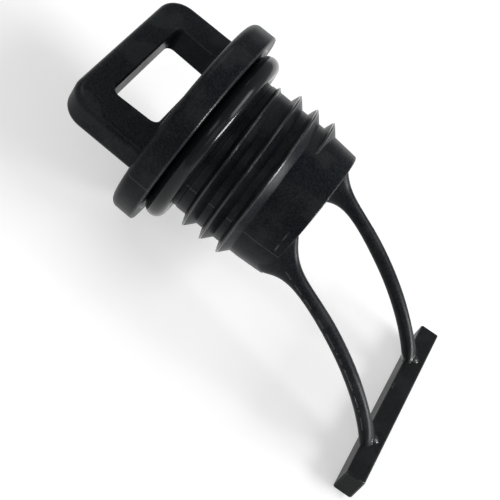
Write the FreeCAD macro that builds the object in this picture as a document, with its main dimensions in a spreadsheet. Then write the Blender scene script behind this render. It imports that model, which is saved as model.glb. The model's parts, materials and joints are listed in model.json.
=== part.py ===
"""Captive drain plug for a boat, moulded in one piece, with a rubber sealing ring.

The plug axis is called the stem axis here. The model is first drawn along +X, with the
flange's seat face at x = 0, the handle towards -X and the threaded stem towards +X. The
handle, the legs and the crossbar lie about the plane z = 0, and the legs bend towards -Z.
At the end the whole plug is tilted about Y, so that it lies on the rim of its flange and on
its crossbar, as it does when it is put down. Sizes are in millimetres and degrees.
"""
import FreeCAD, Part
import math
import os

import Sketcher
from FreeCAD import Placement, Rotation, Vector

SIZES = {
    "flange_radius": (15.55, "rim of the flange at its seat face"),
    "flange_draft": (0.05, "how much smaller the rim is at the handle side"),
    "flange_thickness": (3.8, "seat face to handle side"),
    "flange_back_round": (1.2, "soft edge on the handle side"),
    "flange_seat_chamfer": (0.2, "small broken edge at the seat face"),
    "ring_recess_depth": (0.12, "shallow recess in the seat face under the ring"),
    "ring_recess_margin": (0.12, "gap round the ring in its recess"),
    "neck_radius": (10.35, "plain neck that carries the sealing ring"),
    "neck_length": (3.6, "seat face to the threaded core"),
    "core_radius": (10.45, "root of the thread"),
    "nose_radius": (10.25, "free end of the stem"),
    "nose_length": (4.1, "plain end of the stem"),
    "nose_chamfer": (0.12, "small broken edge at the free end"),
    "lead_in_length": (1.2, "faint taper that ends the nose"),
    "lead_in_depth": (0.1, "how much the faint taper takes off the radius"),
    "stem_length": (18.35, "seat face to the free end"),
    "crest_radius": (11.85, "outside of the thread"),
    "crest_width": (0.2, "flat along the crest"),
    "thread_sink": (0.35, "how far the thread's foot reaches into the core"),
    "pitch": (2.9, "single start, right hand"),
    "flank_back": (20, "slope of the flank that faces the flange"),
    "flank_front": (41, "slope of the flank that faces the nose"),
    "thread_start": (4.0, "crest position where the run-in begins"),
    "thread_turns": (3.32, "whole thread with run-in and run-out"),
    "run_in_turns": (0.36, "part of a turn over which the crest rises"),
    "run_out_turns": (0.17, "part of a turn over which the crest fades"),
    "thread_start_angle": (-5, "about the stem axis, from +Y towards +Z"),
    "handle_length": (15.7, "seat face to the end of the handle"),
    "handle_base_width": (28.4, "across the handle at the flange"),
    "handle_end_width": (28.0, "across the handle at its end"),
    "handle_thickness": (4.3, "plate thickness"),
    "handle_rise": (1.7, "middle of the plate above the stem axis"),
    "handle_corner": (3.6, "outer corners of the loop"),
    "handle_round": (1.0, "soft outer edges of the loop"),
    "window_base_width": (17.2, "finger window next to the flange"),
    "window_end_width": (17.7, "finger window at its far end"),
    "window_start": (4.7, "seat face to the window"),
    "window_end": (11.65, "seat face to the window's far end"),
    "window_corner": (1.1, "corners of the window"),
    "window_chamfer": (0.25, "broken edges of the window"),
    "ring_section": (3.05, "thickness of the rubber ring"),
    "ring_clearance": (0.05, "ring to neck and ring to recess floor"),
    "leg_offset": (9.2, "leg centre to one side of the stem axis, at the nose"),
    "leg_drop": (0.5, "leg centre below the stem axis, at the nose"),
    "leg_toe_in": (0.3, "how far each leg leans inwards"),
    "leg_width": (2.1, "slightly oval leg, from side to side"),
    "leg_depth": (2.2, "slightly oval leg, in the plane of its bend"),
    "leg_start_slope": (16, "fall of the leg where it leaves the nose"),
    "leg_end_slope": (49.5, "fall of the leg where it meets the crossbar"),
    "leg_bend_radius": (55.3, "centre line of the leg"),
    "leg_overlap": (1.8, "how far a leg reaches into the nose and into the crossbar"),
    "root_height": (9.4, "flared leg root, across the leg plane"),
    "root_width": (3.2, "flared leg root, from side to side"),
    "root_length": (6.0, "flare beyond the nose"),
    "root_margin": (0.15, "flared root to the edge of the nose"),
    "foot_length": (2.4, "small flare of the leg towards the crossbar"),
    "foot_flare": (0.5, "how much wider a leg is on each side where it meets the crossbar"),
    "bar_length": (32.4, "end to end"),
    "bar_depth": (3.1, "along the stem axis"),
    "bar_height": (4.9, "square to the leg plane"),
    "bar_lean": (7, "backward lean of the bar towards the handle"),
    "bar_under_leg": (0.35, "upper edge of the bar below the leg's centre line"),
    "bar_round": (0.35, "long edges of the bar"),
    "bar_chamfer": (0.2, "edges of the bar's ends"),
}

# Stations along a leg: shares of the length of its root, of the plain stretch and of its
# foot, and for root and foot how far the section has widened there.
ROOT_SPREAD = ((0, 0.97), (0.15, 0.66), (0.35, 0.34), (0.6, 0.12), (1, 0))
MIDDLE_SHARES = (0.25, 0.5, 0.75, 1)
FOOT_SPREAD = ((0.5, 0.3), (0, 1))


class Size:
    """A size with both its number and the expression that yields it from the sheet."""

    def __init__(self, value, text):
        self.value = value
        self.text = text

    @staticmethod
    def of(other):
        """Return a plain number as a size, and a size as it is."""
        return other if isinstance(other, Size) else Size(float(other), repr(other))

    def __add__(self, other):
        other = Size.of(other)
        return Size(self.value + other.value, f"({self.text} + {other.text})")

    def __sub__(self, other):
        other = Size.of(other)
        return Size(self.value - other.value, f"({self.text} - {other.text})")

    def __mul__(self, other):
        other = Size.of(other)
        return Size(self.value * other.value, f"({self.text} * {other.text})")

    def __truediv__(self, other):
        other = Size.of(other)
        return Size(self.value / other.value, f"({self.text} / {other.text})")

    def __neg__(self):
        return Size(-self.value, f"(-1 * {self.text})")


def sine(angle):
    """Sine of a size in degrees."""
    return Size(math.sin(math.radians(angle.value)), f"sin({angle.text})")


def cosine(angle):
    """Cosine of a size in degrees."""
    return Size(math.cos(math.radians(angle.value)), f"cos({angle.text})")


def tangent(angle):
    """Tangent of a size in degrees."""
    return Size(math.tan(math.radians(angle.value)), f"tan({angle.text})")


def root(size):
    """Square root of a size without a unit."""
    return Size(math.sqrt(size.value), f"sqrt({size.text})")


class Sheet:
    """The spreadsheet of driving sizes; each alias is read as an attribute."""

    def __init__(self, doc):
        self.page = doc.addObject("Spreadsheet::Sheet", "Sizes")
        for row, (name, (value, meaning)) in enumerate(SIZES.items(), start=1):
            self.page.set(f"A{row}", name)
            self.page.set(f"B{row}", str(value))
            self.page.set(f"C{row}", meaning)
            self.page.setAlias(f"B{row}", name)
        doc.recompute()

    def __getattr__(self, name):
        return Size(float(self.page.get(name)), f"Sizes.{name}")


class Sketch:
    """A sketch in a body, with every point placed by an expression."""

    def __init__(self, body, name, role):
        """Start a sketch on one of the body's own planes."""
        plane = next(item for item in body.Origin.OriginFeatures if item.Role == role)
        self.shape = body.newObject("Sketcher::SketchObject", name)
        self.shape.AttachmentSupport = [(plane, "")]
        self.shape.MapMode = "FlatFace"

    def bind(self, kind, *where):
        """Add a constraint whose last argument is a size, bound to the sheet."""
        *places, size = where
        index = self.shape.addConstraint(Sketcher.Constraint(kind, *places, size.value))
        self.shape.setExpression(f"Constraints[{index}]", size.text)

    def place(self, geometry, end, point):
        """Fix one end of a piece of geometry at a point given by two sizes."""
        across, up = (Size.of(part) for part in point)
        self.bind("DistanceX", -1, 1, geometry, end, across)
        self.bind("DistanceY", -1, 1, geometry, end, up)

    def closed(self, points, arcs=()):
        """Draw a closed outline of lines, with an arc in place of each listed side.

        Args:
            points: corners in order, each a pair of sizes.
            arcs: for a side index, its radius and the side's centre as sizes; the arc
                runs anticlockwise where the radius is positive.
        """
        arcs = dict(arcs)
        count = len(points)
        flat = [Vector(Size.of(a).value, Size.of(b).value, 0) for a, b in points]
        starts = []
        for side in range(count):
            first, last = flat[side], flat[(side + 1) % count]
            if side in arcs:
                radius, centre, anticlockwise = arcs[side]
                middle = Vector(Size.of(centre[0]).value, Size.of(centre[1]).value, 0)
                begin, end = (first, last) if anticlockwise else (last, first)
                angles = [math.atan2((p - middle).y, (p - middle).x) for p in (begin, end)]
                circle = Part.Circle(middle, Vector(0, 0, 1), radius.value)
                index = self.shape.addGeometry(Part.ArcOfCircle(circle, *angles))
                self.bind("Radius", index, radius)
                starts.append((index, 1, 2) if anticlockwise else (index, 2, 1))
            else:
                index = self.shape.addGeometry(Part.LineSegment(first, last))
                starts.append((index, 1, 2))
        for side in range(count):
            index, _, end = starts[side]
            follower, begin, _ = starts[(side + 1) % count]
            self.shape.addConstraint(Sketcher.Constraint("Coincident", index, end, follower, begin))
            self.place(starts[side][0], starts[side][1], points[side])
        return self.shape

    def ellipse(self, centre, half_across, half_up):
        """Draw one ellipse whose longer half is upwards."""
        middle = Vector(Size.of(centre[0]).value, Size.of(centre[1]).value, 0)
        top = middle + Vector(0, half_up.value, 0)
        side = middle + Vector(half_across.value, 0, 0)
        index = self.shape.addGeometry(Part.Ellipse(top, side, middle))
        self.shape.exposeInternalGeometry(index)
        self.place(index, 3, centre)
        major, minor = index + 1, index + 2
        self.shape.addConstraint(Sketcher.Constraint("Vertical", major))
        self.bind("Distance", major, half_up * 2)
        self.bind("Distance", minor, half_across * 2)
        return self.shape

    def offset(self, along, turn=None, axis=None):
        """Lift the sketch off its plane, and turn it about one of its own axes."""
        if turn is not None:
            self.shape.AttachmentOffset = Placement(Vector(), Rotation(axis, turn.value))
            self.shape.setExpression("AttachmentOffset.Rotation.Angle", turn.text)
        for letter, size in zip("xyz", along):
            self.shape.setExpression(f"AttachmentOffset.Base.{letter}", Size.of(size).text)
        return self


def edges_where(feature, test):
    """Name the edges of a feature that pass a test on their start, middle and end."""
    names = []
    for number, edge in enumerate(feature.Shape.Edges, start=1):
        first, last = edge.ParameterRange
        spots = [edge.valueAt(first + share * (last - first)) for share in (0, 0.5, 1)]
        if test(*spots):
            names.append(f"Edge{number}")
    return names


def round_edges(body, name, feature, radius, test):
    """Round the edges of a feature that pass a test."""
    fillet = body.newObject("PartDesign::Fillet", name)
    fillet.Base = (feature, edges_where(feature, test))
    fillet.setExpression("Radius", radius.text)
    body.Document.recompute()
    return fillet


def break_edges(body, name, feature, size, test):
    """Chamfer the edges of a feature that pass a test."""
    chamfer = body.newObject("PartDesign::Chamfer", name)
    chamfer.Base = (feature, edges_where(feature, test))
    chamfer.setExpression("Size", size.text)
    body.Document.recompute()
    return chamfer


def near(one, other):
    """Say whether two lengths are the same."""
    return abs(one - other) < 1e-4


def make_handle(body, s):
    """Square loop handle: a tapered plate with a window and soft edges."""
    doc = body.Document
    base = s.flange_thickness / 2
    slope = (s.handle_base_width - s.handle_end_width) / 2 / (s.handle_length - s.flange_thickness)
    foot = s.handle_base_width / 2 + slope * (s.flange_thickness - base)
    tip = s.handle_end_width / 2
    outline = Sketch(body, "HandleOutline", "XY_Plane").offset((0, 0, s.handle_rise))
    outline.closed([
        (-base, -foot), (-base, foot), (-s.handle_length, tip), (-s.handle_length, -tip)])
    plate = body.newObject("PartDesign::Pad", "HandlePlate")
    plate.Profile = outline.shape
    plate.SideType = "Symmetric"
    plate.setExpression("Length", s.handle_thickness.text)
    doc.recompute()
    half = s.handle_thickness.value / 2
    end = -s.handle_length.value

    def upright(a, b, c):
        return near(a.x, c.x) and near(a.y, c.y)

    def on_face(a, b, c):
        return near(abs(b.z - s.handle_rise.value), half) and near(a.z, c.z)

    corners = round_edges(body, "HandleCorners", plate, s.handle_corner,
                          lambda a, b, c: upright(a, b, c) and near(a.x, end))
    rim = round_edges(body, "HandleEdges", corners, s.handle_round,
                      lambda a, b, c: on_face(a, b, c)
                      and not (near(a.x, -base.value) and near(c.x, -base.value)))
    opening = Sketch(body, "WindowOutline", "XY_Plane").offset((0, 0, s.handle_rise))
    opening.closed([
        (-s.window_start, -s.window_base_width / 2), (-s.window_start, s.window_base_width / 2),
        (-s.window_end, s.window_end_width / 2), (-s.window_end, -s.window_end_width / 2)])
    window = body.newObject("PartDesign::Pocket", "Window")
    window.Profile = opening.shape
    window.SideType = "Symmetric"
    window.setExpression("Length", (s.handle_thickness * 2).text)
    doc.recompute()
    limit = max(s.window_base_width.value, s.window_end_width.value) / 2 + 1e-3

    def at_window(a, b, c):
        spans = (near(a.x, edge.value) for edge in (-s.window_start, -s.window_end))
        return upright(a, b, c) and abs(a.y) < limit and any(spans)

    window_corners = round_edges(body, "WindowCorners", window, s.window_corner, at_window)
    inside = s.handle_length.value - (s.handle_length.value - s.window_end.value) / 2
    return break_edges(body, "WindowEdges", window_corners, s.window_chamfer,
                       lambda a, b, c: on_face(a, b, c)
                       and abs(b.y) < limit and -inside < b.x < -base.value - 1e-3)


def make_stem(body, s):
    """Flange with its ring recess, neck, core and nose, turned about the stem axis."""
    back = -s.flange_thickness
    rim = s.flange_radius - s.flange_draft
    big, small, tiny = s.flange_back_round, s.flange_seat_chamfer, s.nose_chamfer
    nose_start = s.stem_length - s.nose_length
    recess = s.neck_radius + s.ring_clearance + s.ring_section + s.ring_recess_margin
    end = s.nose_radius - s.lead_in_depth
    points = [
        (back, 0), (back, rim - big), (back + big, rim),
        (-small, s.flange_radius), (0, s.flange_radius - small),
        (0, recess), (-s.ring_recess_depth, recess), (-s.ring_recess_depth, s.neck_radius),
        (s.neck_length, s.neck_radius), (s.neck_length, s.core_radius),
        (nose_start, s.core_radius), (s.stem_length - s.lead_in_length, s.nose_radius),
        (s.stem_length - tiny, end), (s.stem_length, end - tiny), (s.stem_length, 0)]
    arcs = {1: (big, (back + big, rim - big), False)}
    profile = Sketch(body, "StemProfile", "XZ_Plane").closed(points, arcs)
    stem = body.newObject("PartDesign::Revolution", "Stem")
    stem.Profile = profile
    stem.ReferenceAxis = (profile, ["H_Axis"])
    stem.Angle = 360
    body.Document.recompute()
    return stem


def leg_height(s, run):
    """Height of a leg's centre line at a distance from the nose, along the stem."""
    slope_sine = sine(s.leg_start_slope) + run / s.leg_bend_radius
    return s.leg_bend_radius * (root(Size.of(1) - slope_sine * slope_sine)
                                - cosine(s.leg_start_slope)) - s.leg_drop


def leg_run(s):
    """Distance from the nose to the end of a leg's bend, along the stem."""
    return s.leg_bend_radius * (sine(s.leg_end_slope) - sine(s.leg_start_slope))


def bar_corners(s):
    """Corners of the crossbar's section, as pairs of x and z.

    The section is a rectangle that leans back towards the handle. The bend of the legs
    ends over its handle side, a little above the upper edge.
    """
    x = s.stem_length + leg_run(s)
    z = leg_height(s, leg_run(s))
    corners = []
    for along, up in ((0, 0), (0, -1), (1, -1), (1, 0)):
        depth = s.bar_depth * along
        height = s.bar_height * up - s.bar_under_leg
        corners.append((x + depth * cosine(s.bar_lean) - height * sine(s.bar_lean),
                        z + depth * sine(s.bar_lean) + height * cosine(s.bar_lean)))
    return corners


def make_bar(body, s):
    """Straight crossbar that joins the legs and keeps the plug from being pulled out."""
    section = Sketch(body, "BarSection", "XZ_Plane").closed(bar_corners(s))
    bar = body.newObject("PartDesign::Pad", "Bar")
    bar.Profile = section
    bar.SideType = "Symmetric"
    bar.setExpression("Length", s.bar_length.text)
    body.Document.recompute()
    nearest = s.stem_length.value + leg_run(s).value / 2
    half = s.bar_length.value / 2
    long_edges = round_edges(body, "BarEdges", bar, s.bar_round,
                             lambda a, b, c: b.x > nearest and near(a.y, -c.y))
    return break_edges(body, "BarEnds", long_edges, s.bar_chamfer,
                       lambda a, b, c: b.x > nearest
                       and all(near(abs(spot.y), half) for spot in (a, b, c)))


def leg_stations(s):
    """Ellipses along a leg, square to the stem, from the nose to inside the crossbar.

    Yields:
        For each ellipse its distance beyond the nose, its middle to one side and in
        height, and its half width and half height.
    """
    half_width, half_depth = s.leg_width / 2, s.leg_depth / 2
    edge = s.nose_radius - s.root_margin
    foot = leg_run(s) - s.foot_length

    def station(run, wider=0):
        slope_sine = sine(s.leg_start_slope) + run / s.leg_bend_radius
        upright = half_depth / root(Size.of(1) - slope_sine * slope_sine)
        middle = s.leg_offset - run * tangent(s.leg_toe_in)
        return [run, middle, leg_height(s, run), half_width + wider, upright]

    for share, spread in ((-s.leg_overlap / s.root_length, 1), *ROOT_SPREAD):
        run, middle, height, across, up = station(s.root_length * share)
        outer = middle + across
        outer = outer + (edge - outer) * spread
        inner = middle - across + (edge - s.root_width - middle + across) * spread
        up = up + (s.root_height / 2 - up) * spread
        yield run, (inner + outer) / 2, height, (outer - inner) / 2, up
    for share in MIDDLE_SHARES:
        yield station(s.root_length + (foot - s.root_length) * share)
    for share, spread in FOOT_SPREAD:
        yield station(leg_run(s) - s.foot_length * share, s.foot_flare * spread)
    yield station(leg_run(s) + s.leg_overlap)


def make_legs(body, s):
    """Two bent legs, falling towards -Z, each flared at the nose and at the crossbar."""
    for side, sign in (("Left", 1), ("Right", -1)):
        leg = body.newObject("PartDesign::AdditiveLoft", f"{side}Leg")
        sections = []
        for number, (run, middle, height, across, up) in enumerate(leg_stations(s), start=1):
            section = Sketch(body, f"{side}Leg{number}", "YZ_Plane")
            section.ellipse((middle * sign, height), across, up)
            section.offset((0, 0, s.stem_length + run))
            sections.append(section.shape)
        leg.Profile = sections[0]
        leg.Sections = sections[1:]
        body.Document.recompute()
    return leg


def make_thread(body, s):
    """Coarse screw thread: run-in, full turns and run-out, each a helical sweep."""
    doc = body.Document
    full_circle = math.degrees(math.tau)
    depth = s.crest_radius - s.core_radius
    half = s.crest_width / 2
    back = half + (depth + s.thread_sink) * tangent(s.flank_back)
    front = half + (depth + s.thread_sink) * tangent(s.flank_front)
    foot = s.core_radius - s.thread_sink
    full = s.thread_turns - s.run_in_turns - s.run_out_turns
    fall = depth + s.thread_sink
    sweeps = (
        ("ThreadTurns", s.run_in_turns, full, Size.of(0), False),
        ("ThreadRunOut", s.run_in_turns + full, s.run_out_turns, fall, False),
        ("ThreadRunIn", s.run_in_turns, s.run_in_turns, fall, True),
    )
    for name, first, turns, drop, backwards in sweeps:
        x = s.thread_start
        profile = Sketch(body, f"{name}Profile", "XZ_Plane")
        profile.closed([(x - back, foot), (x - half, s.crest_radius),
                        (x + half, s.crest_radius), (x + front, foot)])
        profile.offset((s.pitch * first, 0, 0), s.thread_start_angle - 90 + first * full_circle,
                       Vector(1, 0, 0))
        sweep = body.newObject("PartDesign::AdditiveHelix", name)
        sweep.Profile = profile.shape
        sweep.ReferenceAxis = (profile.shape, ["H_Axis"])
        sweep.Mode = "height-turns-growth"
        sweep.setExpression("Height", (s.pitch * turns).text)
        sweep.setExpression("Turns", turns.text)
        sweep.setExpression("Growth", (-drop / turns).text)
        sweep.Reversed = backwards
        doc.recompute()
    return sweep


def rest_tilt(s):
    """Angle by which the nose lifts when the plug lies on its rim and its crossbar.

    The rim touches the ground with the round of its handle side and the bar with the round
    of its lower edge. After the turn about Y both rounds are equally low.
    """
    rim_round, bar_round = s.flange_back_round.value, s.bar_round.value
    rim_x = rim_round - s.flange_thickness.value
    rim_z = rim_round + s.flange_draft.value - s.flange_radius.value
    lean = math.radians(s.bar_lean.value)
    tilts = []
    for corner, inward in zip(bar_corners(s)[1:3], (1, -1)):
        bar_x = corner[0].value + bar_round * (math.cos(lean) * inward - math.sin(lean))
        bar_z = corner[1].value + bar_round * (math.sin(lean) * inward + math.cos(lean))
        run, rise = bar_x - rim_x, bar_z - rim_z
        gain = (bar_round - rim_round) / math.hypot(run, rise)
        tilts.append(math.degrees(math.asin(gain) - math.atan2(rise, run)))
    return max(tilts)


def make_plug(doc, s, rest):
    """The moulding as one body."""
    body = doc.addObject("PartDesign::Body", "plug_body")
    body.AllowCompound = True
    make_handle(body, s)
    make_stem(body, s)
    make_bar(body, s)
    make_legs(body, s)
    body.Tip = make_thread(body, s)
    body.Placement = rest
    return body


def make_ring(doc, s, rest):
    """Rubber ring on the neck, in the recess of the seat face."""
    ring = doc.addObject("Part::Torus", "seal_ring")
    section = s.ring_section / 2
    ring.setExpression("Radius1", (s.neck_radius + s.ring_clearance + section).text)
    ring.setExpression("Radius2", section.text)
    seat = section + s.ring_clearance - s.ring_recess_depth
    seated = Placement(Vector(seat.value, 0, 0), Rotation(Vector(0, 1, 0), 90))
    ring.Placement = rest.multiply(seated)
    return ring


def check(doc, parts):
    """Stop if a feature failed or a sub-part isn't one sound solid."""
    for item in doc.Objects:
        if "Invalid" in item.State or "Error" in item.State:
            raise RuntimeError(f"{item.Name} failed")
    for part in parts:
        shape = part.Shape
        if shape.isNull() or not shape.isValid() or len(shape.Solids) != 1:
            raise RuntimeError(f"{part.Label} isn't one sound solid: {len(shape.Solids)}")
        print(part.Label, "volume", round(shape.Volume, 2), "box", shape.optimalBoundingBox())


def main():
    """Build the plug and write each sub-part."""
    doc = FreeCAD.newDocument("drain_plug")
    sizes = Sheet(doc)
    tilt = rest_tilt(sizes)
    print("tilt at rest", round(tilt, 3))
    rest = Placement(Vector(), Rotation(Vector(0, 1, 0), -tilt))
    parts = [make_plug(doc, sizes, rest), make_ring(doc, sizes, rest)]
    doc.recompute()
    check(doc, parts)
    os.makedirs("parts", exist_ok=True)
    for part in parts:
        part.Shape.exportStep(os.path.join("parts", f"{part.Label}.step"))


main()
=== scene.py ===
"""Looks of a captive drain plug for a boat, moulded in black nylon, with its rubber ring.

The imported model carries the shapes. This script gives them their finishes, adds the small
marks that moulding leaves, and sets the plug on a pale floor under soft studio light.
Objects, finishes and lamps are in metres. The marks and the camera's place are given in the
stem's millimetres: along it from the handle towards the crossbar, across it, and up from it.
"""
import json
import logging
import math
from dataclasses import dataclass, replace
from enum import Enum, IntEnum
from typing import Any

import bmesh
import bpy
from mathutils import Matrix, Vector, noise
from mathutils.bvhtree import BVHTree


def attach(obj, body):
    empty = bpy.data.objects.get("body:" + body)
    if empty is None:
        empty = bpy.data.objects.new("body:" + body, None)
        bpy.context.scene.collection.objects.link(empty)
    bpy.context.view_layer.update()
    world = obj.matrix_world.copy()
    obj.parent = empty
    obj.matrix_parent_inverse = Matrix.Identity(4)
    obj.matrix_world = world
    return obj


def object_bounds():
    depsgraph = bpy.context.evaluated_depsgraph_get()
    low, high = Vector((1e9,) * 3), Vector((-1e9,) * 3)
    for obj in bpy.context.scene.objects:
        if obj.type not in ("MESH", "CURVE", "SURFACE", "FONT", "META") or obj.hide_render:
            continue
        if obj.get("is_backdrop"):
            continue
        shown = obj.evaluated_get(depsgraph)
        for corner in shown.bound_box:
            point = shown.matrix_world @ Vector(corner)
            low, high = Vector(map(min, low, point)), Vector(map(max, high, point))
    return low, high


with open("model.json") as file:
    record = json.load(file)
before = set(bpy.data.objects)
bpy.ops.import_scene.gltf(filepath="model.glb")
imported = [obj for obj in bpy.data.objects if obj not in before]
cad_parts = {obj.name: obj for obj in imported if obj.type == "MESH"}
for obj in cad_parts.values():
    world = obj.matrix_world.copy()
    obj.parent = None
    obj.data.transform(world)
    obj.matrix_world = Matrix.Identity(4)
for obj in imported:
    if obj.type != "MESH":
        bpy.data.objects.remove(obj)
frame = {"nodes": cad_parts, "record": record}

log = logging.getLogger("drain_plug")

MM = 0.001
NOISE_MIDDLE = 0.5

# Sockets by number, for the nodes that have several.
OBJECT_PLACE = 3
DOT_VALUE = 1
OCCLUSION = 1
MIX_SHARE, MIX_FIRST, MIX_SECOND, MIXED_COLOUR = 0, 6, 7, 2
CAMERA_RAY, GLOSSY_RAY, TRANSMISSION_RAY = 0, 3, 6


class Node(str, Enum):
    """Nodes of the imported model."""

    BODY = "plug_body"
    RING = "seal_ring"


class Slot(str, Enum):
    """Material slots of the record."""

    NYLON = "moulded_black"
    RUBBER = "rubber_black"


class Side(IntEnum):
    """The plug's two sides, by the sign of their places across the stem."""

    LEFT = -1
    RIGHT = 1

    def tag(self, name: str) -> str:
        """Return a piece's name with the side's word after it."""
        return f"{name}_{self.name.lower()}"


class StemFrame:
    """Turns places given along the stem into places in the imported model's frame."""

    def __init__(self, record: dict) -> None:
        """Read the stem's direction from the record's thread mount.

        Args:
            record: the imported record.
        """
        mount = next(m for m in record["mounts"] if m["name"] == "thread")
        self.along = Vector(mount["axis"]).normalized()
        side = Vector((0.0, 1.0, 0.0))
        up = self.along.cross(side).normalized()
        self.turn = Matrix((self.along, side, up)).transposed()

    def point(self, along: float, side: float, up: float) -> Vector:
        """Return a place given in millimetres as a place in metres."""
        return self.turn @ (Vector((along, side, up)) * MM)


class Socket:
    """A node's output, with arithmetic that adds Math nodes."""

    def __init__(self, graph: "Graph", link: Any) -> None:
        """Keep the graph that new nodes go to, and the output socket."""
        self.graph = graph
        self.link = link

    def _math(self, operation: str, *values: Any) -> "Socket":
        """Add one Math node on numbers and Sockets and return its output."""
        return self.graph.add("ShaderNodeMath", {"operation": operation},
                              dict(enumerate(values)))[0]

    def __add__(self, other: Any) -> "Socket":
        """Sum."""
        return self._math("ADD", self, other)

    __radd__ = __add__

    def __mul__(self, other: Any) -> "Socket":
        """Product."""
        return self._math("MULTIPLY", self, other)

    __rmul__ = __mul__

    def __sub__(self, other: Any) -> "Socket":
        """Difference."""
        return self._math("SUBTRACT", self, other)

    def __rsub__(self, other: Any) -> "Socket":
        """Difference from a number."""
        return self._math("SUBTRACT", other, self)

    def least(self, other: Any) -> "Socket":
        """Smaller of two values."""
        return self._math("MINIMUM", self, other)

    def most(self, other: Any) -> "Socket":
        """Larger of two values."""
        return self._math("MAXIMUM", self, other)

    def band(self, start: float, end: float) -> "Socket":
        """Rise from 0 to 1 between two values, smoothly, or fall if end is smaller.

        Args:
            start: value that gives 0.
            end: value that gives 1.

        Returns:
            The eased value.
        """
        low, high = min(start, end), max(start, end)
        eased = self.graph.add("ShaderNodeMapRange", {"interpolation_type": "SMOOTHSTEP"},
                               {"Value": self, "From Min": low, "From Max": high})[0]
        return eased if end > start else 1.0 - eased


class Graph:
    """The node tree of one material or of the world."""

    def __init__(self, tree: Any) -> None:
        """Empty a node tree and keep it."""
        self.tree = tree
        tree.nodes.clear()

    def add(self, kind: str, settings: dict | None = None,
            inputs: dict | None = None) -> list[Socket]:
        """Add a node, set its settings first and then its sockets.

        Args:
            kind: the node's type.
            settings: the node's attributes by name.
            inputs: sockets by name or number, each a number, a tuple or a Socket.

        Returns:
            The node's outputs.
        """
        node = self.tree.nodes.new(kind)
        for name, value in (settings or {}).items():
            setattr(node, name, value)
        for name, value in (inputs or {}).items():
            if isinstance(value, Socket):
                self.tree.links.new(value.link, node.inputs[name])
            else:
                node.inputs[name].default_value = value
        return [Socket(self, output) for output in node.outputs]

    def noise(self, place: Socket, scale: float, detail: float) -> Socket:
        """Add a noise texture, its scale per metre, and return its value, about 0.5."""
        return self.add("ShaderNodeTexNoise", None,
                        {"Vector": place, "Scale": scale, "Detail": detail})[0]

    def mix(self, share: Socket, first: Any, second: Any) -> Socket:
        """Mix two colours, with the first at a share of 0 and the second at 1."""
        return self.add("ShaderNodeMix", {"data_type": "RGBA"},
                        {MIX_SHARE: share, MIX_FIRST: first, MIX_SECOND: second})[MIXED_COLOUR]


def grey(level: float) -> tuple[float, float, float, float]:
    """Return an opaque grey as a colour socket takes it."""
    return level, level, level, 1.0


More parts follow.
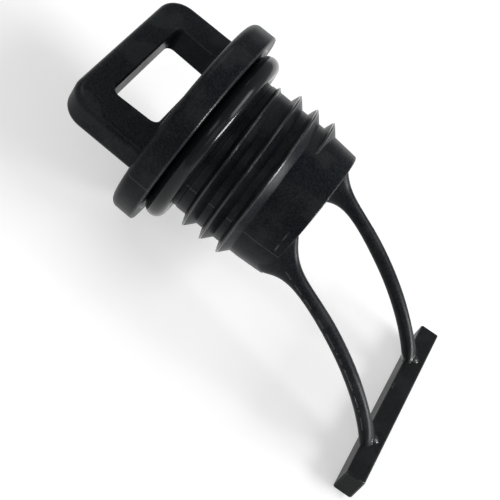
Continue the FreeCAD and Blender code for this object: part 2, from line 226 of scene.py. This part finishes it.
@dataclass(frozen=True)
class Finish:
    """A black moulded surface with grain, cloudy patches, dust and worn edges.

    Scales are per metre, and depths, widths and radii in metres. A band is the pair of
    values between which its effect sets in. The painted sheen band's values are places along
    the stem, in metres, between which the colour turns to a lighter one: painted sheen on the
    legs' lower ends and the crossbar, standing in for the light that they catch.
    """

    name: str
    slot: Slot
    colour: tuple[float, float, float]
    dust: tuple[float, float, float]
    roughness: float
    gloss: float
    grain: float
    grain_depth: float
    grain_detail: float = 3.0
    grain_change: float = 0.12
    grain_band: tuple[float, float] = (0.40, 0.62)
    fine_share: float = 0.75
    wave: float = 900.0
    wave_depth: float = 0.000013
    wave_detail: float = 2.0
    patch: float = 260.0
    patch_detail: float = 3.0
    patch_change: float = 0.10
    patch_band: tuple[float, float] = (0.47, 0.60)
    speck_scale: float = 0.4
    speck_detail: float = 4.0
    speck_band: tuple[float, float] = (0.62, 0.74)
    dust_share: float = 0.35
    edge_radius: float = 0.00018
    edge_width: float = 0.00045
    edge_band: tuple[float, float] = (0.88, 0.58)
    edge_roughness: float = 0.25
    edge_coat: float = 0.8
    coat_roughness: float = 0.20
    bevel_samples: int = 12
    edge_samples: int = 8
    # Painted sheen: a lighter colour over the legs' lower ends and the crossbar, standing in
    # for the light they catch.
    painted_sheen_colour: tuple[float, float, float] = (0.0150, 0.0152, 0.0158)
    painted_sheen_band: tuple[float, float] = (0.036, 0.047)

    def material(self) -> bpy.types.Material:
        """Build the material.

        Returns:
            The new material.
        """
        made = bpy.data.materials.new(self.name)
        made.use_nodes = True
        graph = Graph(made.node_tree)
        place = graph.add("ShaderNodeTexCoord")[OBJECT_PLACE]
        grain = graph.noise(place, self.grain, self.grain_detail)
        wave = graph.noise(place, self.wave, self.wave_detail)
        patch = graph.noise(place, self.patch, self.patch_detail)
        speck = graph.noise(place, self.grain * self.speck_scale, self.speck_detail)
        along = graph.add("ShaderNodeVectorMath", {"operation": "DOT_PRODUCT"},
                          {0: place, 1: tuple(StemFrame(frame["record"]).along)})[DOT_VALUE]
        # Painted sheen: towards the crossbar the colour turns lighter, standing in for the
        # light that the legs' lower ends and the crossbar catch.
        base = graph.mix(along.band(*self.painted_sheen_band), (*self.colour, 1.0),
                         (*self.painted_sheen_colour, 1.0))
        dusty = (patch.band(*self.patch_band) * self.dust_share
                 + speck.band(*self.speck_band) * self.dust_share
                 + grain.band(*self.grain_band) * self.fine_share).least(1.0)
        colour = graph.mix(dusty, base, (*self.dust, 1.0))
        worn = graph.add("ShaderNodeBevel", {"samples": self.bevel_samples},
                         {"Radius": self.edge_radius})[0]
        thick = graph.add("ShaderNodeAmbientOcclusion",
                          {"inside": True, "samples": self.edge_samples},
                          {"Distance": self.edge_width})[OCCLUSION]
        edge = thick.band(*self.edge_band)
        rough = (self.roughness + (patch - NOISE_MIDDLE) * self.patch_change
                 + (grain - NOISE_MIDDLE) * self.grain_change
                 - edge * (self.roughness - self.edge_roughness))
        height = wave * (self.wave_depth / self.grain_depth) + grain
        bump = graph.add("ShaderNodeBump", None, {
            "Strength": 1.0, "Distance": self.grain_depth, "Height": height,
            "Normal": worn})[0]
        shader = graph.add("ShaderNodeBsdfPrincipled", None, {
            "Base Color": colour, "Roughness": rough, "Specular IOR Level": self.gloss,
            "Coat Weight": edge * self.edge_coat, "Coat Roughness": self.coat_roughness,
            "Normal": bump, "Coat Normal": worn})[0]
        graph.add("ShaderNodeOutputMaterial", None, {"Surface": shader})
        return made

    def dress(self, node: Node) -> None:
        """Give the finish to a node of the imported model.

        Args:
            node: the node to dress.
        """
        target = frame["nodes"][node.value]
        target.data.materials.clear()
        target.data.materials.append(self.material())
        log.info("%s dressed in %s", node.value, self.name)


NYLON = Finish("satin_nylon", Slot.NYLON, colour=(0.0066, 0.0083, 0.0115),
               dust=(0.0212, 0.0242, 0.0256), roughness=0.34, gloss=0.072,
               grain=4200.0, grain_depth=0.000012, fine_share=0.62, patch=200.0,
               patch_change=0.2, dust_share=0.60, edge_coat=1.0)
SEAM = replace(NYLON, name="seam_nylon", colour=(0.0045, 0.0055, 0.0075),
               dust=(0.0070, 0.0082, 0.0095), gloss=0.020, edge_coat=0.0, edge_radius=0.00003)
GLOSSY = Finish("polished_nylon", Slot.NYLON, colour=(0.0070, 0.0080, 0.0095),
                dust=(0.014, 0.015, 0.017), roughness=0.18, gloss=0.50,
                grain=7000.0, grain_depth=0.000002, wave_depth=0.000003, edge_coat=0.0)
FLASH = Finish("scuffed_flash", Slot.NYLON, colour=(0.014, 0.015, 0.017),
               dust=(0.042, 0.044, 0.047), roughness=0.32, gloss=0.24,
               grain=9000.0, grain_depth=0.000003, dust_share=0.7, edge_coat=0.1)
RUBBER = Finish("moulded_rubber", Slot.RUBBER, colour=(0.0062, 0.0074, 0.0090),
                dust=(0.0120, 0.0130, 0.0145), roughness=0.16, gloss=0.21,
                grain=6000.0, grain_depth=0.0000015, wave_depth=0.000004,
                edge_radius=0.0003, edge_roughness=0.16, edge_coat=0.0)


class Skin:
    """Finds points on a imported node's skin, in the stem's millimetres."""

    def __init__(self, node: Node, stem: StemFrame) -> None:
        """Read the node's mesh.

        Args:
            node: the node whose skin is asked for.
            stem: the stem's frame.
        """
        mesh = frame["nodes"][node.value].data
        back = stem.turn.transposed()
        self.tree = BVHTree.FromPolygons([(back @ v.co) / MM for v in mesh.vertices],
                                         [tuple(p.vertices) for p in mesh.polygons])

    def hit(self, start: Vector, way: Vector) -> tuple[Vector, Vector] | None:
        """Return where a ray meets the skin and the normal there, or None."""
        place, normal, _, _ = self.tree.ray_cast(start, way.normalized())
        return None if place is None else (place, normal)


def make_piece(name: str, points: list[Vector], faces: list[tuple[int, ...]], stem: StemFrame,
               finish: Finish, smooth: bool = True) -> None:
    """Make a piece from points in the stem's millimetres and let it ride.

    Args:
        name: the piece's name.
        points: its corners.
        faces: its faces, by corner number.
        stem: the stem's frame.
        finish: its finish.
        smooth: whether its faces shade smoothly.
    """
    build = bmesh.new()
    corners = [build.verts.new(stem.point(*point)) for point in points]
    for face in faces:
        build.faces.new([corners[i] for i in face])
    bmesh.ops.recalc_face_normals(build, faces=build.faces)
    mesh = bpy.data.meshes.new(name)
    build.to_mesh(mesh)
    build.free()
    if smooth:
        mesh.shade_smooth()
    mesh.materials.append(finish.material())
    made = bpy.data.objects.new(name, mesh)
    bpy.context.scene.collection.objects.link(made)
    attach(made, "root")
    log.info("%s made of %d faces", name, len(faces))


@dataclass(frozen=True)
class Station:
    """One place on a ridge's path, in the stem's millimetres.

    The ridge's feet lie below the skin by the root's share of its half width.
    """

    place: Vector
    out: Vector
    across: Vector
    half: float
    height: float
    root: float = 0.6

    def corners(self) -> list[Vector]:
        """Return the section's corners: a foot, the crest and the other foot."""
        wide, deep = self.across * self.half, self.out * self.half * self.root
        return [self.place - wide - deep, self.place + self.out * self.height,
                self.place + wide - deep]


def bead(path: list[Station]) -> tuple[list[Vector], list[tuple[int, ...]]]:
    """Make a closed ridge of triangular section along a path.

    Args:
        path: the ridge's stations, in order.

    Returns:
        The points and the faces.
    """
    points = [corner for station in path for corner in station.corners()]
    faces: list[tuple[int, ...]] = []
    last = len(points) - 3
    for a in range(0, last, 3):
        b = a + 3
        faces += [(a, a + 1, b + 1, b), (a + 1, a + 2, b + 2, b + 1), (a + 2, a, b, b + 2)]
    faces += [(0, 2, 1), (last, last + 1, last + 2)]
    return points, faces


@dataclass
class MouldLine:
    """The fine line that the two halves of the mould leave down each side of the plug.

    On the legs it is a line of flash, torn away in places and ragged elsewhere. Two noise
    fields say where and how much. They are read along the leg at a rate per millimetre.
    Sizes and places are in the stem's millimetres.
    """

    outside: float = 30.0
    half_width: float = 0.05

    stem_level: float = 0.35
    stem_start: float = -3.78
    stem_end: float = 18.2
    stem_step: float = 0.06
    stem_ridge: float = 0.025
    least_slope: float = 0.05

    leg_side: float = 9.0
    leg_start: float = 20.2
    leg_end: float = 44.4
    leg_step: float = 0.16
    leg_above: float = 20.0
    leg_below: float = -40.0
    leg_top_share: float = 0.55
    leg_low_share: float = 0.45
    leg_across: tuple[float, float, float] = (0.5, 0.0, 0.86)
    leg_widening: float = 1.3
    leg_ridge: float = 0.09
    least_run: int = 3

    tear_rate: float = 1.3
    tear_shift: float = 7.0
    tear_below: float = -0.12
    rag_rate: float = 6.0
    rag_shift: float = 3.0
    rag_layer: float = 5.0
    rag_middle: float = 0.5
    rag_swing: float = 0.9
    rag_floor: float = -0.4

    @staticmethod
    def places_along(start: float, end: float, step: float) -> list[float]:
        """Return the places from start up to end, a step apart."""
        return [start + i * step for i in range(int((end - start) / step) + 1)]

    def inward(self, along: float, level: float, side: Side,
               skin: Skin) -> tuple[Vector, Vector] | None:
        """Return the skin's place and normal seen straight in from one side, or None."""
        return skin.hit(Vector((along, side * self.outside, level)), Vector((0.0, -side, 0.0)))

    def stem_line(self, side: Side, skin: Skin, stem: StemFrame) -> None:
        """Lay the line over the flange, the thread and the nose.

        Args:
            side: the side of the plug.
            skin: the plug's skin.
            stem: the stem's frame.
        """
        path = []
        up = Vector((0.0, 0.0, 1.0))
        for along in self.places_along(self.stem_start, self.stem_end, self.stem_step):
            met = self.inward(along, self.stem_level, side, skin)
            if met is None:
                continue
            place, normal = met
            out = Vector((normal.x, normal.y, 0.0))
            if out.length < self.least_slope:
                continue
            path.append(Station(place, out.normalized(), up, self.half_width, self.stem_ridge))
        make_piece(side.tag("mould_line"), *bead(path), stem, SEAM)

    def leg_spot(self, along: float, side: Side, skin: Skin) -> tuple[Vector, Vector] | None:
        """Find the line's place on the outside of a leg, about halfway up its section.

        Args:
            along: the place along the stem.
            side: the leg's side.
            skin: the plug's skin.

        Returns:
            The place met and the normal there, or None.
        """
        over = side * self.leg_side
        top = skin.hit(Vector((along, over, self.leg_above)), Vector((0.0, 0.0, -1.0)))
        low = skin.hit(Vector((along, over, self.leg_below)), Vector((0.0, 0.0, 1.0)))
        if top is None or low is None:
            return None
        middle = top[0].z * self.leg_top_share + low[0].z * self.leg_low_share
        return self.inward(along, middle, side, skin)

    def leg_runs(self, side: Side, skin: Skin) -> list[list[Station]]:
        """Follow the flash down one leg and break it where it is torn away.

        Args:
            side: the leg's side.
            skin: the plug's skin.

        Returns:
            The stations of each unbroken run.
        """
        runs: list[list[Station]] = [[]]
        for along in self.places_along(self.leg_start, self.leg_end, self.leg_step):
            met = self.leg_spot(along, side, skin)
            if met is None:
                continue
            tear = noise.noise(Vector((along * self.tear_rate, side * self.tear_shift, 0.0)))
            if tear < self.tear_below:
                if runs[-1]:
                    runs.append([])
                continue
            ragged = noise.noise(Vector((along * self.rag_rate, side * self.rag_shift,
                                         self.rag_layer)))
            share = self.rag_middle + self.rag_swing * max(ragged, self.rag_floor)
            runs[-1].append(Station(*met, Vector(self.leg_across),
                                    self.half_width * self.leg_widening,
                                    self.leg_ridge * share))
        return runs

    def leg_line(self, side: Side, skin: Skin, stem: StemFrame) -> None:
        """Lay the broken line of flash down the outside of one leg.

        Args:
            side: the leg's side.
            skin: the plug's skin.
            stem: the stem's frame.
        """
        points: list[Vector] = []
        faces: list[tuple[int, ...]] = []
        for run in self.leg_runs(side, skin):
            if len(run) < self.least_run:
                continue
            more, their = bead(run)
            faces += [tuple(i + len(points) for i in face) for face in their]
            points += more
        make_piece(side.tag("leg_flash"), points, faces, stem, FLASH)

    def build(self, skin: Skin, stem: StemFrame) -> None:
        """Lay all the lines.

        Args:
            skin: the plug's skin.
            stem: the stem's frame.
        """
        for side in Side:
            self.stem_line(side, skin, stem)
            self.leg_line(side, skin, stem)


@dataclass(frozen=True)
class Stroke:
    """A short ridge that tapers towards both ends, in the stem's millimetres.

    The blunt numbers are added to a place's number and to the count of places. They leave
    the two ends about a fifth of the full width.
    """

    name: str
    out: tuple[float, float, float]
    across: tuple[float, float, float]
    half: float
    height: float
    blunt_start: float = 0.6
    blunt_both: float = 0.2

    def lay(self, line: list[Vector], stem: StemFrame) -> None:
        """Lay the ridge along a line.

        Args:
            line: its places.
            stem: the stem's frame.
        """
        path = []
        for i, spot in enumerate(line):
            share = math.sin(math.pi * (i + self.blunt_start) / (len(line) + self.blunt_both))
            path.append(Station(spot, Vector(self.out), Vector(self.across),
                                self.half * share, self.height * share))
        make_piece(self.name, *bead(path), stem, FLASH)


@dataclass
class Marks:
    """Small leftovers of moulding: leg ends on the crossbar, webs, burrs and a gate stub.

    Sizes and places are in the stem's millimetres, and the crossbar's lean is in degrees.
    """

    bar_top: float = -17.90
    bar_edge: float = 45.40
    bar_lean: float = 7.0
    leg_side: float = 8.75

    end_along: float = 45.75
    end_size: tuple[float, float, float] = (1.55, 0.98, 0.62)
    end_sunk: float = 0.10
    end_rows: int = 12
    end_columns: int = 20

    web_side: float = 0.95
    web_overlap: float = 0.5
    web_inset: float = 0.15
    web_sunk: float = 0.06
    web_reach: float = 1.35
    web_climb: float = 1.25
    web_slope: float = 1.1
    web_lean: float = 0.15
    web_bend: tuple[float, float, float] = (-0.28, 0.78, 0.22)
    web_depth: float = 1.3
    web_draft: float = 0.1

    stroke_places: int = 9

    burr: Stroke = Stroke("bar_burr", out=(-0.7, 0.0, 0.7), across=(0.7, 0.0, 0.7),
                          half=0.11, height=0.10)
    burr_along: float = 45.44
    burr_start: float = 1.0
    burr_length: float = 1.7
    burr_sunk: float = 0.05
    burr_wave: float = 0.03
    burr_wave_turn: float = 9.0

    gate: Stroke = Stroke("gate_stub", out=(0.0, -0.6, 0.8), across=(0.0, 0.8, 0.6),
                          half=0.16, height=0.03)
    gate_along: float = 47.15
    gate_length: float = 0.85
    gate_side: float = -16.12
    gate_rise: float = 0.12

    nose_along: float = 17.30
    nose_lean: float = 0.05
    nose_outside: float = -30.0
    nose_out: tuple[float, float, float] = (0.0, -1.0, 0.2)
    nose_half: float = 0.09
    nose_height: float = 0.05
    nose_levels: tuple[tuple[str, float, float], ...] = (
        ("nose_burr_upper", 4.5, 2.9),
        ("nose_burr_lower", 2.3, 0.9))

    def leg_end(self, side: Side, stem: StemFrame) -> None:
        """Round off the end of one leg where it lies on the crossbar.

        Args:
            side: the leg's side.
            stem: the stem's frame.
        """
        rows, columns = self.end_rows, self.end_columns
        lean = math.radians(self.bar_lean)
        flat = Vector((math.cos(lean), 0.0, math.sin(lean)))
        rise = Vector((-math.sin(lean), 0.0, math.cos(lean)))
        centre = (Vector((self.end_along, side * self.leg_side, self.bar_top))
                  - rise * self.end_sunk)
        long, wide, high = self.end_size
        points = [centre + flat * long]
        for row in range(1, rows):
            angle = math.pi * row / rows
            for column in range(columns):
                turn = math.tau * column / columns
                points.append(centre + flat * long * math.cos(angle)
                              + Vector((0.0, wide * math.sin(angle) * math.cos(turn), 0.0))
                              + rise * high * math.sin(angle) * math.sin(turn))
        points.append(centre - flat * long)
        faces = []
        low = 1 + (rows - 2) * columns
        for column in range(columns):
            after = (column + 1) % columns
            faces.append((0, 1 + column, 1 + after))
            for row in range(rows - 2):
                a, b = 1 + row * columns, 1 + (row + 1) * columns
                faces.append((a + column, b + column, b + after, a + after))
            faces.append((len(points) - 1, low + after, low + column))
        make_piece(side.tag("leg_end"), points, faces, stem, GLOSSY)

    def web(self, side: Side, stem: StemFrame) -> None:
        """Fill the corner between one leg and the crossbar's edge with a small web.

        Args:
            side: the leg's side.
            stem: the stem's frame.
        """
        start = side * self.leg_side + self.web_side
        foot = Vector((self.bar_edge + self.web_inset, start - self.web_overlap,
                       self.bar_top - self.web_sunk))
        tip = foot + Vector((0.0, self.web_reach + self.web_overlap, 0.0))
        bend = foot + Vector(self.web_bend)
        climb = foot + Vector((-self.web_climb, self.web_lean, self.web_climb * self.web_slope))
        down = Vector((self.web_draft, 0.0, -self.web_depth))
        upper = [foot, tip, bend, climb]
        points = upper + [point + down for point in upper]
        faces = [(0, 1, 2, 3), (7, 6, 5, 4), (0, 4, 5, 1), (1, 5, 6, 2), (2, 6, 7, 3),
                 (3, 7, 4, 0)]
        make_piece(side.tag("web"), points, faces, stem, SEAM, smooth=False)

    def nose_burr(self, name: str, top: float, low: float, steps: list[float], skin: Skin,
                  stem: StemFrame) -> None:
        """Lay a burr on the nose's edge, from one level down to another.

        Args:
            name: the piece's name.
            top: the level that it starts from.
            low: the level that it goes down to.
            steps: its places, as shares of the way.
            skin: the plug's skin.
            stem: the stem's frame.
        """
        line = []
        for share in steps:
            level = top + (low - top) * share
            start = Vector((self.nose_along - self.nose_lean * level, self.nose_outside, level))
            met = skin.hit(start, Vector((0.0, 1.0, 0.0)))
            if met is not None:
                line.append(met[0])
        out = tuple(Vector(self.nose_out).normalized())
        Stroke(name, out=out, across=(1.0, 0.0, 0.0), half=self.nose_half,
               height=self.nose_height).lay(line, stem)

    def build(self, skin: Skin, stem: StemFrame) -> None:
        """Make all the marks.

        Args:
            skin: the plug's skin.
            stem: the stem's frame.
        """
        for side in Side:
            self.leg_end(side, stem)
            self.web(side, stem)
        steps = [i / (self.stroke_places - 1) for i in range(self.stroke_places)]
        self.burr.lay([Vector((self.burr_along, self.burr_start + self.burr_length * share,
                               self.bar_top - self.burr_sunk
                               + self.burr_wave * math.sin(self.burr_wave_turn * share)))
                       for share in steps], stem)
        self.gate.lay([Vector((self.gate_along + self.gate_length * share, self.gate_side,
                               self.bar_top + self.gate_rise * share))
                       for share in steps], stem)
        for name, top, low in self.nose_levels:
            self.nose_burr(name, top, low, steps, skin, stem)


@dataclass(frozen=True)
class Softbox:
    """One soft lamp: its direction from the plug in degrees, its size and its radiance."""

    name: str
    turn: float
    lift: float
    width: float
    height: float
    radiance: float
    away: float = 1.0

    def hang(self, aim: Vector) -> None:
        """Add the lamp.

        Args:
            aim: the point that it looks at.
        """
        turn, lift = math.radians(self.turn), math.radians(self.lift)
        way = Vector((math.cos(lift) * math.cos(turn), math.cos(lift) * math.sin(turn),
                      math.sin(lift)))
        data = bpy.data.lights.new(self.name, "AREA")
        data.shape = "RECTANGLE"
        data.size, data.size_y = self.width, self.height
        data.energy = math.pi * self.width * self.height * self.radiance
        lamp = bpy.data.objects.new(self.name, data)
        lamp.location = aim + way * self.away
        lamp.rotation_mode = "QUATERNION"
        lamp.rotation_quaternion = (-way).to_track_quat("-Z", "Y")
        bpy.context.scene.collection.objects.link(lamp)
        log.info("lamp %s hung", self.name)


@dataclass
class Studio:
    """Pale floor, dim surroundings and soft lamps, aimed at a place along the stem."""

    aim_along: float = 18.0
    floor_half: float = 3.0
    floor_colour: float = 0.62
    floor_roughness: float = 0.9
    floor_gloss: float = 0.1
    floor_lift: float = 0.46
    world_level: float = 0.30
    lamps: tuple[Softbox, ...] = (
        Softbox("window", turn=8.0, lift=13.0, width=0.38, height=0.13, radiance=50.0),
        Softbox("window_high", turn=22.0, lift=47.0, width=0.60, height=0.40, radiance=6.0),
        Softbox("left", turn=152.0, lift=38.0, width=0.60, height=0.35, radiance=3.2),
        Softbox("front", turn=318.0, lift=42.0, width=0.50, height=0.45, radiance=0.8),
        Softbox("front_high", turn=250.0, lift=50.0, width=0.34, height=0.30, radiance=2.2))

    def matt_white(self) -> bpy.types.Material:
        """Build the floor's material, whose glow only the camera and mirrored rays see.

        Returns:
            The new material.
        """
        made = bpy.data.materials.new("floor_white")
        made.use_nodes = True
        graph = Graph(made.node_tree)
        rays = graph.add("ShaderNodeLightPath")
        seen = rays[CAMERA_RAY].most(rays[GLOSSY_RAY]).most(rays[TRANSMISSION_RAY])
        matt = graph.add("ShaderNodeBsdfPrincipled", None, {
            "Base Color": grey(self.floor_colour), "Roughness": self.floor_roughness,
            "Specular IOR Level": self.floor_gloss,
            "Emission Color": graph.mix(seen, grey(0.0), grey(1.0)),
            "Emission Strength": self.floor_lift})[0]
        graph.add("ShaderNodeOutputMaterial", None, {"Surface": matt})
        return made

    def floor(self, level: float) -> None:
        """Lay the floor that catches the shadow.

        Args:
            level: height of the floor.
        """
        mesh = bpy.data.meshes.new("floor")
        build = bmesh.new()
        half = self.floor_half
        corners = [build.verts.new((x, y, level)) for x, y in
                   ((-half, -half), (half, -half), (half, half), (-half, half))]
        build.faces.new(corners)
        build.to_mesh(mesh)
        build.free()
        mesh.materials.append(self.matt_white())
        ground = bpy.data.objects.new("floor", mesh)
        bpy.context.scene.collection.objects.link(ground)
        ground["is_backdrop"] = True
        log.info("floor laid at %.5f", level)

    def surroundings(self) -> None:
        """Light the scene all round with a plain grey world."""
        world = bpy.data.worlds.new("studio")
        bpy.context.scene.world = world
        world.use_nodes = True
        graph = Graph(world.node_tree)
        light = graph.add("ShaderNodeBackground", None, {
            "Color": grey(1.0), "Strength": self.world_level})[0]
        graph.add("ShaderNodeOutputWorld", None, {"Surface": light})

    def build(self, level: float, stem: StemFrame) -> None:
        """Set up the floor, the world and the lamps.

        Args:
            level: height of the floor.
            stem: the stem's frame.
        """
        self.floor(level)
        self.surroundings()
        for lamp in self.lamps:
            lamp.hang(stem.point(self.aim_along, 0.0, 0.0))


@dataclass
class PhotoCamera:
    """The photograph's view, from angles about the stem in degrees.

    The aim, the shifts from it and the distance are in the stem's millimetres. The focal
    length and the frame are in pixels, the sensor in millimetres and the clipping in metres.
    """

    from_top: float = 43.145
    lift: float = -2.871
    roll: float = 39.063
    aim_along: float = 14.0
    right: float = 4.615
    down: float = -7.450
    distance: float = 150.033
    focal_px: float = 1102.45
    frame_px: float = 500.0
    sensor_width: float = 36.0
    clip_start: float = 0.005
    clip_end: float = 20.0

    def place(self, stem: StemFrame) -> None:
        """Make the camera and set it as the scene's.

        Args:
            stem: the stem's frame.
        """
        top, lift, roll = (math.radians(a) for a in (self.from_top, self.lift, self.roll))
        back = Vector((math.sin(lift), -math.sin(top) * math.cos(lift),
                       math.cos(top) * math.cos(lift)))
        along = Vector((1.0, 0.0, 0.0))
        flat = (along - back * along.dot(back)).normalized()
        across = back.cross(flat)
        right = flat * math.cos(roll) + across * math.sin(roll)
        down = flat * math.sin(roll) - across * math.cos(roll)
        spot = (Vector((self.aim_along, 0.0, 0.0)) - right * self.right - down * self.down
                + back * self.distance)
        turn = stem.turn @ Matrix((right, -down, back)).transposed()
        data = bpy.data.cameras.new("photo_view")
        data.sensor_width = self.sensor_width
        data.lens = self.focal_px / self.frame_px * self.sensor_width
        data.clip_start, data.clip_end = self.clip_start, self.clip_end
        camera = bpy.data.objects.new("photo_view", data)
        camera.matrix_world = Matrix.Translation(stem.point(*spot)) @ turn.to_4x4()
        bpy.context.scene.collection.objects.link(camera)
        bpy.context.scene.camera = camera
        log.info("camera placed")


def main() -> None:
    """Build the whole scene."""
    logging.basicConfig(level=logging.INFO, format="%(message)s")
    packed_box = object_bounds()
    stem = StemFrame(frame["record"])
    NYLON.dress(Node.BODY)
    RUBBER.dress(Node.RING)
    skin = Skin(Node.BODY, stem)
    MouldLine().build(skin, stem)
    Marks().build(skin, stem)
    PhotoCamera().place(stem)
    Studio().build(packed_box[0].z, stem)
    bpy.context.scene.view_settings.view_transform = "Standard"


if __name__ == "__main__":
    main()
